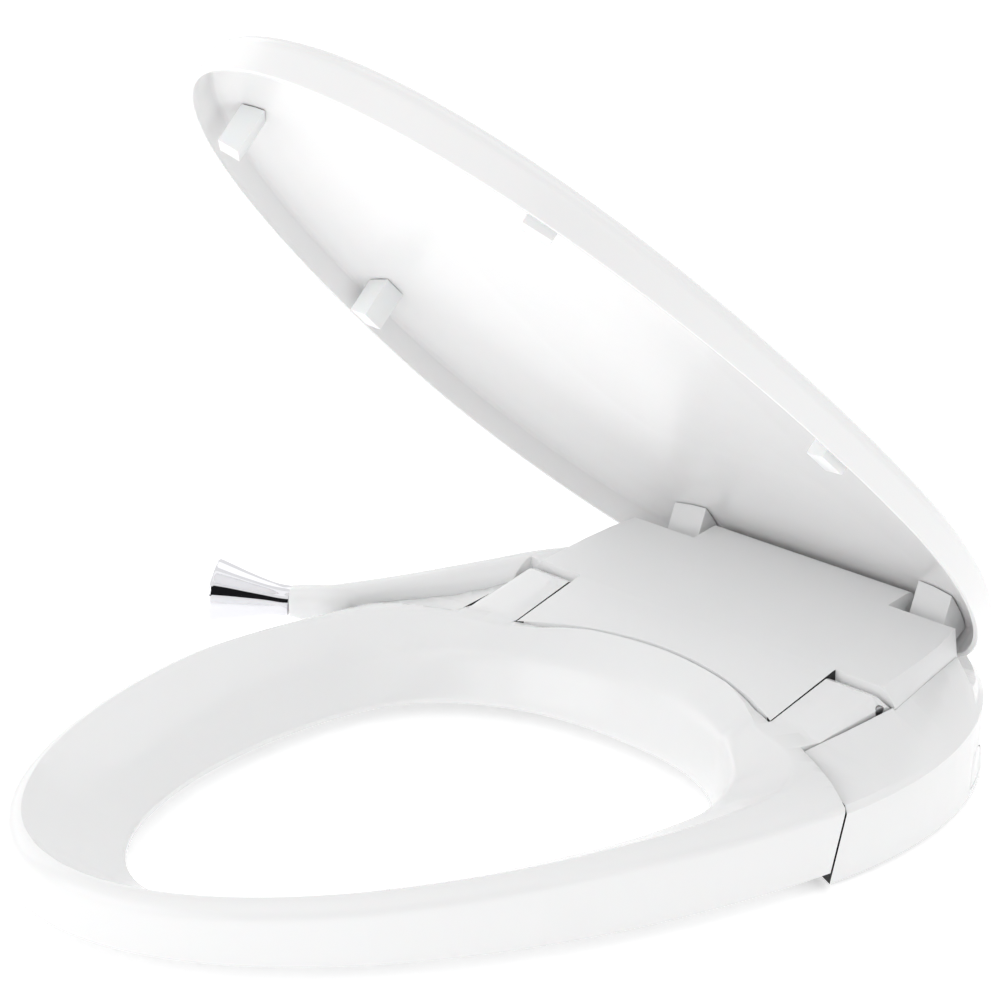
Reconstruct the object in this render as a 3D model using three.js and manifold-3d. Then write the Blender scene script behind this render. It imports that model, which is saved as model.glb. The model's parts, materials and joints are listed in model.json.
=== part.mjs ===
// Bidet seat: a hinged ring seat and lid on a rear housing, which holds a spray wand,
// its valve and a side knob.
// Millimetres, +Z up, front towards -Y. The origin is the middle of the mounting plate's underside,
// which lies on the rim of the bowl midway between the two fixing bolts.
import * as THREE from "three";
import { LoftGeometry } from "three/addons/geometries/LoftGeometry.js";
import { mergeVertices } from "three/addons/utils/BufferGeometryUtils.js";
import Module from "manifold-3d";

const wasm = await Module();
wasm.setup();

// Driving dimensions
const wall = 2.8; // moulded wall of the housing and lid
const seatWall = 3.2; // moulded wall of the ring
const seam = 1.4; // width of the gap round the seat
const fit = 0.4; // clearance between assembled pieces
const aroundSteps = 72; // points round the large ovals
// Extent of the blocks that the forms are cut with.
const region = { halfWidth: 300, side: 280, front: -520, wings: -200, back: 90, low: -10, high: 120 };

const ringOval = { halfWidth: 185, middleY: -157, front: 308, rear: 215, frontPower: 2.04, rearPower: 2 };
const holeOval = { halfWidth: 119, middleY: -213.5, front: 200, rear: 88, frontPower: 1.8, rearPower: 2.35 };
const ring = {
  bottom: 7, // underside of the ring above the bowl
  crest: 43.5, // top of the ring beside the user
  tipCrest: 33.5, // top of the ring at its front
  levelFromY: -265, // the crest is level behind this line
  shoulder: 3.3, // set-back of the top edge
  shoulderDrop: 1.8, // fall from the crest to that edge at the front
  creaseZ: 36.5, // crease under the rear shoulders
  softDrop: 10, // height of the rounded front edge
  lipHeight: 2.5, // upright lip round the hole
  innerDrop: 4, // how far the hollow runs out below the underside
  edgeFrom: -340, // the front edge turns into the rear shoulder from here
  edgeTo: -200, // to here
};
const crestShare = { rear: 0.155, side: 0.85, startAngle: -25, endAngle: 50 };

const deck = {
  back: 40, // rear wall
  front: -168, // where the wings run out beside the ring
  bottom: 1.6,
  creaseInset: 3.7,
  creaseZ: 36.3,
  creaseRise: 0.018, // rise of the side crease per millimetre towards the rear
  creaseDrop: 2.5, // height of the rounded side crease
  tongueSlope: 0.36,
  plateauSlope: 0.233,
  kneeY: -73, // where the tongue turns into the plateau
  kneeZ: 58.4,
  plateauEnd: 6.4, // rear edge of the plateau
  plateauRound: 5, // rounding of that edge
  footZ: 41.4, // foot of the bevel at the front corner
  footRise: 0.155,
  footRear: { halfWidth: 119, y: -11 }, // where the foot line draws in behind the ears
  rearFoot: [56, 43], // height of the foot from the plateau's end to the rear wall
  edgeFront: { halfWidth: 129, y: -116 }, // plateau edge at the front
  edgeRear: { halfWidth: 123, y: -26 }, // and further back
  sideLedge: 14, // least width of the side slope
};
// The seat's ears, which reach back to its hinge on each side of the tongue.
const ear = { inner: 95, outerFront: 130, outerRear: 134, corner: -128, rear: -72, radius: 6.4, clear: 1.5 };
const tongueArc = { radius: 247, topY: -97 };
const flank = ringOval.halfWidth; // what stands at the side is placed from it
const wingLine = [[flank - 27, -141], [flank - 9, -149], [flank + 10, -157]];
const seamSlant = { top: 36, slope: 0.32, from: wingLine[0][0] }; // it leans forward below the crease
const seatHinge = { y: -79, z: 49.8, pin: 2.5, from: 89, to: 132 };
const earFloor = 38; // underside of the ears
const baseSetback = 6; // the ring's base plate stands back from its lip
const ringPlate = 2.4; // thickness of that plate

const lidInset = { side: 1, front: 5 }; // how far the lid's oval stands in from the ring's
const lidOval = {
  halfWidth: flank - lidInset.side,
  middleY: -158,
  front: ringOval.front - lidInset.front,
  rear: 208,
  frontPower: 2.06,
  rearPower: 2,
};
const lid = {
  hingeY: 0,
  hingeZ: 62,
  open: 43.2, // tilt of the open lid
  rim: -6, // rim below the hinge line
  backEdge: 13, // straight rear edge behind the hinge line
  backCorner: 16,
};
// The lid's rise above its hinge line, going in from its edge.
const lidRise = [
  [0, 9], [1.4, 11.8], [5, 14.8], [12, 17.8], [20, 19.6], [32, 21.6], [50, 23.2], [78, 24.6], [110, 25.4],
];
const lidRiseInside = [
  [0, 8.4], [0.6, 9.8], [2.2, 11], [9, 14.2], [17, 16.5], [29, 18.6], [47, 20.3], [75, 21.7], [107, 22.5],
];
// The dome has lower shoulders at its sides, and a tighter one at the rear.
const lidShape = { sideDrop: 2.2, rearTightness: 0.6, tightTo: 40, tightOver: 28, dropTo: 110 };
const hingeArm = {
  inner: 78,
  outer: 101.5,
  barrel: 6.2,
  side: [[8.5, 9], [8.5, 30], [-18.5, 30], [-8.2, 5]], // the block above the barrel, in side view
};
const lidPin = { radius: 2.6, from: 66, to: 104 };
const notch = { inner: 71.5, outer: 129, front: -12.5, floor: 53.5 };
// Hollow in which the rear of the lid swings: its floor is an arc about the hinge.
const sweep = {
  radius: 25, halfWidth: lidOval.halfWidth - 56, front: 6.9, back: 34, up: 40, shelf: 12, arcFrom: 28, arcTo: -58,
};
const sweepStep = { front: 12, low: 17, under: 8.3, corner: [5.2, 6], lip: 4 };
const damper = { radius: 4.5, from: 28, to: 64 };

const plate = { halfWidth: 84, halfDepth: 24, thick: 4, boltSpacing: 140, slotWidth: 9, slotLength: 30 };
const cover = { past: 6, back: 20, low: 50, tongueLow: 34, lap: 8 }; // where the top cover ends
const chassis = { thick: 2.6, pocketWall: 3 };
const boss = { radius: 6, top: 7, post: 4.5, hole: 1.9 };
const screw = {
  head: 3.4, headHeight: 2.1, shank: 1.5, length: 12, recess: 0.2, slotLength: 4.8, slotWidth: 1,
};
const screwPlaces = [[150, -100], [103, 1]];
const postIn = 2; // how far below the roof's outer face the front posts end
const rearPostTop = 41.5;

const wandTube = { tipY: -78, tipZ: 11.5, tilt: 38, outer: 9, inner: 7.5, length: 58, port: 1.6 };
const wand = { radius: 4.6, length: 52, tip: 6, tipLength: 12, proud: 2, seal: 7.1, sealThick: 3, back: 14 };
const jet = { at: [3, 7], radius: 0.9, from: 3, to: 8 }; // spray holes in the wand's tip
const wandCoil = { radius: 6.1, wire: 0.6, turns: 6, inset: 14 };
const buttonCoil = { radius: 4, wire: 0.5, turns: 4 };
const opening = { halfWidth: 10.5, front: -99, back: -60, top: 9 };

const knobOut = 30; // from the ring's side to the knob
const knobAt = new THREE.Vector3(-flank - knobOut, -172.4, 35.5);
const knobWay = new THREE.Vector3(-0.75, -0.65, 0.1).normalize();
// The knob's flare: radius, and share of its length from the narrow end.
const knob = { length: 40, flare: [[8.4, 0], [9, 0.22], [12.2, 0.55], [15.8, 0.85], [17.2, 0.97]] };
const arm = { wall: 2.2, neck: 7, sides: 20, squareness: 2.3 };
// Stations along the arm from the knob to the deck: how far behind the knob, or where in plan,
// then its top, its underside and its half width.
const armNeck = [
  { behind: 1.7, top: 43.9, bottom: 27.3, half: 8.4 },
  { behind: 12, top: 44.8, bottom: 25.6, half: 8.6 },
  { behind: 23, top: 45.2, bottom: 24, half: 9 },
];
const armRoot = [
  { x: -flank - 9, y: -144, top: 44.8, bottom: 22.5, half: 9 },
  { x: -flank + 1, y: -125, top: 46.4, bottom: 20, half: 9.5 },
  { x: -flank + 17, y: -104, top: 50.7, bottom: 18, half: 11 },
  { x: -152, y: -84, top: 55.2, bottom: 18, half: 13 },
  { x: -138, y: -68, top: 59.4, bottom: 18, half: 15 },
  { x: -122, y: -52, top: 62.7, bottom: 18, half: 17 },
];
const spindle = { radius: 2.6, into: 6, play: 0.3 };
const cartridge = { radius: 4.8, from: 7, length: 16, depth: 10 };
const tubes = {
  radius: 1.8,
  spacing: 2.5,
  stations: [
    [-flank - 8.5, -143, 33], [-flank + 1.5, -125, 31], [-flank + 17, -104, 29],
    [-152, -84, 27], [-138, -66, 25],
  ],
  spray: [[-90, -50, 24], [-40, -33, 40]], // to the rear of the wand
  sprayTurn: [-9, 1, 0],
  supply: [[-112, -38, 20], [-70, -10, 20]], // to the inlet
  inletRun: [12, 29],
};
const inlet = { x: -62, z: 17, radius: 6, flange: 9, out: 11, inside: 9, bore: 3.6 };

const button = {
  front: -35, back: -11, bottom: 4.8, top: 20.5, thick: 5, cutFrom: 110,
  barEnd: 101, barHalf: 1.5, barZ: 10.5,
};
const latchHead = { length: 6, halfWidth: 4, below: 5, above: 4 };
const latchStop = { from: 103, to: 106, half: 6 };
const bumper = { length: 34, width: 12, round: 1.5, gap: 0.3 };
const seatBumpers = [[flank - 38, -262, 82], [102, -372, 48]];
const lidBumpers = [[flank - 18, -205, 84], [112, -372, 48]];
const lidBumper = { length: 15, width: 11, wall: 1.4, proud: 1.5, top: 30 };

// Finishes
const finishes = {
  gloss: { color: 0xf4f4f2, roughness: 0.18, metalness: 0 },
  satin: { color: 0xe9eaea, roughness: 0.4, metalness: 0 },
  inner: { color: 0xd4d6d8, roughness: 0.55, metalness: 0 },
  rubber: { color: 0xdedfdf, roughness: 0.7, metalness: 0 },
  chrome: { color: 0xdfe1e6, roughness: 0.06, metalness: 1 },
  steel: { color: 0xb9bcc0, roughness: 0.3, metalness: 1 },
  brass: { color: 0xb89b5e, roughness: 0.35, metalness: 1 },
};

const radians = THREE.MathUtils.degToRad;
const lerp = THREE.MathUtils.lerp;
const smooth = THREE.MathUtils.smoothstep;
const clamp = THREE.MathUtils.clamp;

// Solids
function solid(geometry) {
  const bare = geometry.index ? geometry.toNonIndexed() : geometry.clone();
  for (const name of Object.keys(bare.attributes)) {
    if (name !== "position") bare.deleteAttribute(name);
  }
  const merged = mergeVertices(bare, 1e-4);
  const triVerts = [];
  for (let i = 0; i < merged.index.count; i += 3) {
    const [a, b, c] = [0, 1, 2].map((k) => merged.index.getX(i + k));
    if (a !== b && b !== c && c !== a) triVerts.push(a, b, c);
  }
  return new wasm.Manifold(new wasm.Mesh({
    numProp: 3,
    vertProperties: merged.attributes.position.array,
    triVerts: new Uint32Array(triVerts),
  }));
}

function geometryOf(shape) {
  const mesh = shape.getMesh();
  const geometry = new THREE.BufferGeometry();
  geometry.setAttribute("position", new THREE.BufferAttribute(mesh.vertProperties, 3));
  geometry.setIndex(new THREE.BufferAttribute(mesh.triVerts, 1));
  return geometry;
}

const part = new THREE.Group();

function add(name, shape, finish, parent = part) {
  const mesh = new THREE.Mesh(geometryOf(shape), new THREE.MeshStandardMaterial(finishes[finish]));
  mesh.name = name;
  parent.add(mesh);
}

// A flat outline in (y, z), drawn out along X from one side to the other.
function acrossX(outline, from, to, curveSegments = 16) {
  const options = { depth: to - from, bevelEnabled: false, curveSegments };
  const geometry = new THREE.ExtrudeGeometry(outline, options);
  const turn = new THREE.Matrix4().makeBasis(
    new THREE.Vector3(0, 1, 0), new THREE.Vector3(0, 0, 1), new THREE.Vector3(1, 0, 0));
  return solid(geometry.applyMatrix4(turn).translate(from, 0, 0));
}

// A flat outline in (x, y), drawn upwards.
function upward(outline, from, to, curveSegments = 24) {
  const options = { depth: to - from, bevelEnabled: false, curveSegments };
  const geometry = new THREE.ExtrudeGeometry(outline, options);
  return solid(geometry.translate(0, 0, from));
}

function box(x0, x1, y0, y1, z0, z1) {
  const geometry = new THREE.BoxGeometry(x1 - x0, y1 - y0, z1 - z0);
  return solid(geometry.translate((x0 + x1) / 2, (y0 + y1) / 2, (z0 + z1) / 2));
}

function rod(from, to, radius, endRadius = radius, sides = 20) {
  const way = to.clone().sub(from);
  const geometry = new THREE.CylinderGeometry(endRadius, radius, way.length(), sides);
  const turn = new THREE.Quaternion().setFromUnitVectors(new THREE.Vector3(0, 1, 0), way.clone().normalize());
  geometry.applyQuaternion(turn);
  const middle = from.clone().add(to).multiplyScalar(0.5);
  return solid(geometry.translate(middle.x, middle.y, middle.z));
}

const crossRod = (x0, x1, y, z, radius, sides = 24) =>
  rod(new THREE.Vector3(x0, y, z), new THREE.Vector3(x1, y, z), radius, radius, sides);
const uprightRod = (x, y, z0, z1, radius, sides = 24) =>
  rod(new THREE.Vector3(x, y, z0), new THREE.Vector3(x, y, z1), radius, radius, sides);

function polygon(points) {
  return new THREE.Shape(points.map(([x, y]) => new THREE.Vector2(x, y)));
}

function union(shapes) {
  return shapes.reduce((sum, next) => sum.add(next));
}

// A skin through sections in order. An open loft is closed by drawing each end in to its middle.
function loft(sections, closedLoop = false) {
  const drawnIn = (row) => {
    const middle = row.reduce((sum, p) => sum.add(p), new THREE.Vector3()).divideScalar(row.length);
    return row.map(() => middle.clone());
  };
  const rows = closedLoop
    ? [...sections, sections[0]]
    : [drawnIn(sections[0]), ...sections, drawnIn(sections.at(-1))];
  const made = solid(new LoftGeometry(rows));
  return made.volume() > 0 ? made : solid(new LoftGeometry(rows.map((row) => [...row].reverse())));
}

// Ovals
function onOval(oval, angle, inset = 0) {
  const [c, s] = [Math.cos(angle), Math.sin(angle)];
  const reach = (s < 0 ? oval.front : oval.rear) - inset;
  const power = 2 / (s < 0 ? oval.frontPower : oval.rearPower);
  const x = (oval.halfWidth - inset) * Math.sign(c) * Math.abs(c) ** power;
  const y = oval.middleY + reach * Math.sign(s) * Math.abs(s) ** power;
  return new THREE.Vector2(x, y);
}

function ovalHalfWidth(oval, y) {
  const reach = y < oval.middleY ? oval.front : oval.rear;
  const power = y < oval.middleY ? oval.frontPower : oval.rearPower;
  const share = Math.min(1, Math.abs(y - oval.middleY) / reach);
  return oval.halfWidth * (1 - share ** power) ** (1 / power);
}

function ovalShape(oval, inset = 0) {
  const points = [];
  for (let i = 0; i < aroundSteps; i++) points.push(onOval(oval, (i / aroundSteps) * 2 * Math.PI, inset));
  return new THREE.Shape(points);
}

// The ring's own form: lip, dish, crest, shoulder and outer wall
// Steps from the lip to the crest: how far across, then the share of the rise below the inner crease
// and of the rise above it.
const dishSteps = [[0.12, 0.44, 0], [0.3, 1, 0], [0.5, 1, 0.36], [0.76, 1, 0.74], [0.93, 1, 0.96]];
// Height of the inner crease as a share of the crest's, by angle from the ring's side.
const creaseShares = [
  [-90, 0.3], [-58, 0.32], [-42, 0.5], [-20, 0.53], [0, 0.56], [20, 0.66], [40, 0.7], [90, 0.6],
];

function creaseShare(turn) {
  const i = Math.max(1, creaseShares.findIndex(([angle]) => turn <= angle));
  const [[a, low], [b, high]] = [creaseShares[i - 1], creaseShares[i]];
  return lerp(low, high, smooth(turn, a, b));
}

// Height of the tongue's slope, which the rear of the ring runs up to meet.
const tongueTop = (y) => deck.kneeZ + deck.tongueSlope * (Math.min(y, tongueArc.topY) - deck.kneeY);

function ringSection(angle, inset) {
  const outer = onOval(ringOval, angle, inset);
  const lip = onOval(holeOval, angle, -inset);
  const turn = THREE.MathUtils.radToDeg(Math.asin(Math.sin(angle)));
  const side = 1 - smooth(turn, crestShare.startAngle, crestShare.endAngle);
  const crest = lip.clone().lerp(outer, lerp(crestShare.rear, crestShare.side, side));
  const tipReach = ring.levelFromY - ringOval.middleY + ringOval.front;
  const forward = clamp((ring.levelFromY - crest.y) / tipReach, 0, 1);
  const crestZ = Math.max(lerp(ring.crest, ring.tipCrest, forward), tongueTop(crest.y)) - inset;
  const edge = smooth(outer.y, ring.edgeFrom, ring.edgeTo);
  const shoulderZ = lerp(crestZ - ring.shoulderDrop, ring.creaseZ - inset, edge);
  const wallZ = lerp(crestZ - ring.softDrop, ring.creaseZ - ring.shoulder - inset, edge);
  const bottom = inset > 0 ? ring.bottom - ring.innerDrop : ring.bottom;
  const shoulder = outer.clone().lerp(crest, ring.shoulder / outer.distanceTo(crest));
  const points = [[lip, bottom], [lip, bottom + ring.lipHeight]];
  const share = creaseShare(turn);
  for (const [across, below, above] of dishSteps) {
    const z = lerp(ring.bottom + ring.lipHeight - inset, crestZ, below * share + above * (1 - share));
    points.push([lip.clone().lerp(crest, across), z]);
  }
  points.push([crest, crestZ], [shoulder, shoulderZ], [outer, wallZ], [outer, bottom]);
  return points.map(([p, z]) => new THREE.Vector3(p.x, p.y, z));
}

function ringForm(inset = 0) {
  const sections = [];
  for (let i = 0; i < aroundSteps; i++) sections.push(ringSection((i / aroundSteps) * 2 * Math.PI, inset));
  return loft(sections, true);
}

// The deck's form: plateau, tongue, bevels and wings, as one lofted body
function deckLevels(y) {
  const slope = y < deck.kneeY ? deck.tongueSlope : deck.plateauSlope;
  const intoRound = clamp(y - (deck.plateauEnd - deck.plateauRound), 0, deck.plateauRound);
  const roundDrop = deck.plateauRound - Math.sqrt(deck.plateauRound ** 2 - intoRound ** 2);
  const top = deck.kneeZ + slope * (y - deck.kneeY) - roundDrop;
  const side = ovalHalfWidth(ringOval, y);
  const foot = deck.footZ + deck.footRise * (y - ear.corner);
  const crease = deck.creaseZ + deck.creaseRise * (y - ear.corner);
  return { top, side, foot, crease };
}

const between = (y, from, to) => clamp((y - from) / (to - from), 0, 1);

function footHalfWidth(y) {
  const wide = ear.outerRear + ear.clear;
  if (y < ear.rear) return lerp(ear.outerFront, wide, between(y, ear.corner, ear.rear));
  return lerp(wide, deck.footRear.halfWidth, between(y, ear.rear, deck.footRear.y));
}

function plateauHalfWidth(y) {
  const { edgeFront, edgeRear } = deck;
  return lerp(edgeFront.halfWidth, edgeRear.halfWidth, between(y, edgeFront.y, edgeRear.y));
}

// Height of the slope between the foot line and the side crease.
function sideSlopeZ(x, y) {
  const { side, foot, crease } = deckLevels(y);
  const edge = side - deck.creaseInset;
  return crease + (foot - crease) * (edge - x) / (edge - footHalfWidth(y));
}

function deckSection(y, inset) {
  const { top, side, foot, crease } = deckLevels(y);
  const onPlateau = y <= deck.plateauEnd && y >= ear.corner;
  const fall = clamp((y - deck.plateauEnd) / (deck.back - deck.plateauEnd), 0, 1);
  const footX = Math.min(footHalfWidth(y), side - deck.sideLedge);
  const levelFoot = Math.min(foot, y < ear.corner ? deck.footZ : foot);
  const footZ = y > deck.plateauEnd ? lerp(...deck.rearFoot, fall) : levelFoot;
  const topX = onPlateau ? Math.min(plateauHalfWidth(y), footX - ear.clear) : footX - 8;
  const topZ = onPlateau ? Math.max(top, footZ - 6) : footZ;
  const bottom = inset > 0 ? deck.bottom - 5 : deck.bottom;
  const half = [
    [side - inset, bottom],
    [side - inset, crease - deck.creaseDrop - inset],
    [side - deck.creaseInset - inset, crease - inset],
    [footX - inset / 2, footZ - inset],
    [topX - inset / 2, topZ - inset],
  ];
  const other = half.map(([x, z]) => [-x, z]).reverse();
  return [...half, ...other].map(([x, z]) => new THREE.Vector3(x, y, z));
}

function deckForm(inset = 0) {
  const rounding = [0, 0.38, 0.71, 0.92, 1].map((share) => deck.plateauEnd - deck.plateauRound * (1 - share));
  const front = [deck.front, -150, -139, ear.corner, -116, -100, -86, deck.kneeY, -58, -42, -27, -14, -4];
  const middle = [...rounding, deck.plateauEnd + 0.5];
  const sections = [
    ...front.map((y) => deckSection(y, inset)),
    ...middle.map((y) => deckSection(y, inset).map((p) => p.setY(y - inset))),
    ...[16, 25, 32, Math.min(37, deck.back - inset - 0.2)].map((y) => deckSection(y, inset)),
    deckSection(deck.back - inset, inset),
  ];
  return loft(sections);
}

// Plan of the seat: everything in front of the seam
function seatPlan(shift) {
  const shape = new THREE.Shape();
  const arc = Math.asin((ear.inner - shift) / tongueArc.radius);
  const far = region.side;
  shape.moveTo(-far, region.front);
  shape.lineTo(far, region.front);
  shape.lineTo(far, wingLine[2][1] + shift);
  for (const [x, y] of [...wingLine].reverse()) shape.lineTo(x, y + shift);
  shape.lineTo(ear.outerFront + shift, ear.corner + shift);
  shape.lineTo(ear.outerRear + shift, ear.rear + shift);
  shape.lineTo(ear.inner - shift, ear.rear + shift);
  const [from, to] = [Math.PI / 2 - arc, Math.PI / 2 + arc];
  shape.absarc(0, tongueArc.topY - tongueArc.radius, tongueArc.radius + shift, from, to, false);
  shape.lineTo(-ear.inner + shift, ear.rear + shift);
  shape.lineTo(-ear.outerRear - shift, ear.rear + shift);
  shape.lineTo(-ear.outerFront - shift, ear.corner + shift);
  for (const [x, y] of wingLine) shape.lineTo(-x, y + shift);
  shape.lineTo(-far, wingLine[2][1] + shift);
  return shape;
}

// The ears' plan, drawn a little large: the seam cuts it to size.
function earPrism(inset) {
  const spare = 4;
  const inner = ear.inner - spare + inset;
  const outer = ear.outerRear + spare - inset;
  const right = polygon([
    [inner, ear.corner], [ear.outerFront - inset, ear.corner],
    [outer, ear.rear], [outer, ear.rear + spare], [inner, ear.rear + spare],
  ]);
  const block = upward(right, earFloor - 2 * seatWall, region.back);
  return block.add(block.mirror([1, 0, 0]));
}

// The hollow in which the lid's rear edge swings, grown by a margin.
function sweepHollow(margin = 0) {
  const shape = new THREE.Shape();
  const { hingeY: y, hingeZ: z } = lid;
  const step = sweepStep;
  shape.moveTo(y + sweep.front - margin, z + sweep.up);
  shape.lineTo(y + sweep.back, z + sweep.up);
  shape.lineTo(y + sweep.back, z + sweep.shelf);
  shape.absarc(y, z, sweep.radius + margin, radians(sweep.arcFrom), radians(sweep.arcTo), true);
  shape.lineTo(y - step.front - margin, z - step.low - margin);
  shape.lineTo(y - step.front - margin, z - step.under + margin);
  shape.lineTo(y, z - step.under + margin);
  shape.lineTo(y + step.corner[0] - margin * 0.7, z - step.corner[1] + margin);
  shape.lineTo(y + sweep.front - margin, z - step.lip + margin);
  return acrossX(shape, -sweep.halfWidth - margin, sweep.halfWidth + margin, 20);
}

function hingeNotch(margin = 0) {
  const [inner, outer] = [notch.inner - margin, notch.outer + margin];
  const block = box(inner, outer, notch.front - margin, sweep.back, notch.floor - margin, region.high);
  return block.add(block.mirror([1, 0, 0]));
}

// Seat
function leaningSeam(shift) {
  const x = seamSlant.from + shift;
  const far = region.side;
  const side = polygon([
    [x, wingLine[0][1] + shift], ...wingLine.slice(1).map(([wx, wy]) => [wx, wy + shift]),
    [far, wingLine[2][1] + shift], [far, 0], [x, 0],
  ]);
  const depth = seamSlant.top - region.low;
  const geometry = new THREE.ExtrudeGeometry(side, { depth, bevelEnabled: false });
  const { slope } = seamSlant;
  const lean = new THREE.Matrix4().set(
    1, 0, 0, 0,
    0, 1, slope, -slope * depth,
    0, 0, 1, region.low,
    0, 0, 0, 1);
  const wedge = solid(geometry.applyMatrix4(lean));
  return wedge.add(wedge.mirror([1, 0, 0]));
}

const seatZone = (shift) => upward(seatPlan(shift), region.low, region.high).subtract(leaningSeam(shift));
const rearBlock = (low, high) =>
  box(-region.halfWidth, region.halfWidth, region.wings, region.back, low, high);
const behindSeam = (shift) => rearBlock(region.low, region.high).subtract(seatZone(shift));

// What is cut from the ears: the rear of them is round about the hinge, and their underside is open.
function earTrim() {
  const reach = ear.rear + 12;
  const half = ringOval.halfWidth;
  const { y, z } = seatHinge;
  const shape = polygon([[y, 10], [reach, 10], [reach, region.back], [y, region.back]]);
  const outside = acrossX(shape, -half, half).subtract(crossRod(-half - 1, half + 1, y, z, ear.radius, 40));
  const low = box(-half, half, tongueArc.topY - 3, reach, 0, earFloor);
  const side = box(ear.outerFront - 0.6, half, ear.corner + 0.1, reach, 0, earFloor);
  return union([outside, low, side, side.mirror([1, 0, 0])]);
}

// All that lies behind a line near the front of the tongue, which the ring keeps solid or clear.
function overTongue(behind) {
  const half = region.halfWidth;
  return box(-half, half, tongueArc.topY + behind, 0, 0, region.back);
}

function seatRing() {
  const outer = ringForm().add(deckForm().intersect(earPrism(0))).intersect(seatZone(-seam / 2));
  const core = ringForm(seatWall).add(deckForm(seatWall).intersect(earPrism(seatWall)));
  const inner = core.intersect(seatZone(-seam / 2 - seatWall)).subtract(overTongue(3));
  return outer.subtract(inner).subtract(earTrim()).subtract(pinHoles());
}

function pinHoles() {
  const hole = crossRod(seatHinge.from - 1, seatHinge.to + 1, seatHinge.y, seatHinge.z, seatHinge.pin + fit);
  return hole.add(hole.mirror([1, 0, 0]));
}

// The base plate's inner edge: set back from the lip, and further where the dish rises slowly above it.
function plateEdge(angle, inset) {
  const section = ringSection(angle, seatWall);
  const clear = ring.bottom + ringPlate + fit;
  const i = section.findIndex((p) => p.z > clear);
  const [below, above] = [section[i - 1], section[i]];
  const rise = below.clone().lerp(above, (clear - below.z) / (above.z - below.z));
  const set = onOval(holeOval, angle, -inset - baseSetback);
  const lip = onOval(holeOval, angle);
  const reach = new THREE.Vector2(rise.x, rise.y);
  return reach.distanceTo(lip) > set.distanceTo(lip) ? reach : set;
}

function seatRingBase() {
  const inset = seatWall + fit;
  const flat = ovalShape(ringOval, inset);
  const turns = Array.from({ length: aroundSteps }, (_, i) => (i / aroundSteps) * 2 * Math.PI);
  flat.holes.push(new THREE.Path(turns.map((angle) => plateEdge(angle, inset))));
  const slab = upward(flat, ring.bottom, ring.bottom + ringPlate);
  const body = slab.intersect(seatZone(-seam / 2 - seatWall - fit)).subtract(overTongue(-4));
  return body.subtract(deckForm().intersect(behindSeam(0)));
}

function seatPad(x, y, angle) {
  const shape = new THREE.Shape();
  const straight = bumper.length / 2 - bumper.width / 2;
  shape.absarc(straight, 0, bumper.width / 2, -Math.PI / 2, Math.PI / 2, false);
  shape.absarc(-straight, 0, bumper.width / 2, Math.PI / 2, 1.5 * Math.PI, false);
  const { round, gap } = bumper;
  const top = ring.bottom - gap;
  const geometry = new THREE.ExtrudeGeometry(shape, {
    depth: top - round,
    bevelThickness: round,
    bevelSize: round,
    bevelOffset: -round,
    bevelSegments: 1,
    curveSegments: 6,
  });
  geometry.translate(0, 0, round);
  const { length, width } = bumper;
  const cut = solid(geometry).intersect(box(-length, length, -width, width, 0, top));
  return cut.rotate([0, 0, angle]).translate([x, y, 0]);
}

function makeSeat() {
  add("seat_ring", seatRing(), "gloss");
  add("seat_ring_base", seatRingBase(), "satin");
  seatBumpers.forEach(([x, y, angle], i) => {
    const place = i === 0 ? "side" : "front";
    add(`seat_bumper_${place}_right`, seatPad(x, y, angle), "rubber");
    add(`seat_bumper_${place}_left`, seatPad(-x, y, -angle), "rubber");
  });
}

// Housing
function housingShell() {
  const outer = deckForm().intersect(behindSeam(seam / 2));
  const hollow = deckForm(wall).intersect(behindSeam(seam / 2 + wall));
  const inner = hollow.subtract(sweepHollow(wall)).subtract(hingeNotch(wall));
  return outer.subtract(inner).subtract(sweepHollow()).subtract(hingeNotch());
}

function coverZone(grow) {
  const { halfWidth, y: footY } = deck.footRear;
  const half = [
    [ear.inner + cover.past, ear.rear], [ear.outerRear + ear.clear, ear.rear],
    [halfWidth, footY], [halfWidth, cover.back],
  ];
  const right = half.map(([x, y]) => [x + grow, y - (y === ear.rear ? grow : 0)]);
  const left = right.map(([x, y]) => [-x, y]).reverse();
  const wide = ear.inner + cover.past;
  const rear = upward(polygon([...right, ...left]), cover.low - grow, region.high);
  const tongue = box(-wide, wide, ear.corner, ear.rear + cover.lap, cover.tongueLow - grow, region.high);
  const join = box(-ear.inner, ear.inner, ear.rear - cover.lap, -cover.lap, cover.low - grow, region.high);
  return union([rear, tongue, join]);
}

// Something made at each screw place, on both sides.
const atScrews = (make) => screwPlaces.flatMap(([x, y], i) => [make(-x, y, i), make(x, y, i)]);

function screwPosts() {
  const topOf = (x, y, i) => (i === 0 ? sideSlopeZ(Math.abs(x), y) - postIn : rearPostTop);
  return union(atScrews((x, y, i) => uprightRod(x, y, boss.top + fit, topOf(x, y, i), boss.post, 20)));
}

function screwHoles(radius) {
  return union(atScrews((x, y) => uprightRod(x, y, -1, boss.top + screw.length, radius, 16)));
}

function wandWay() {
  return new THREE.Vector3(0, -Math.cos(radians(wandTube.tilt)), -Math.sin(radians(wandTube.tilt)));
}

function onWand(distance) {
  return new THREE.Vector3(0, wandTube.tipY, wandTube.tipZ).addScaledVector(wandWay(), -distance);
}

function buttonZone(grow) {
  const shape = new THREE.Shape();
  const middle = (button.front + button.back) / 2;
  const half = (button.back - button.front) / 2 + grow;
  const straight = button.top - (button.back - button.front) / 2;
  shape.moveTo(middle - half, button.bottom - grow);
  shape.lineTo(middle + half, button.bottom - grow);
  shape.absarc(middle, straight, half, 0, Math.PI, false);
  return acrossX(shape, button.cutFrom, region.halfWidth, 20);
}

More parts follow.
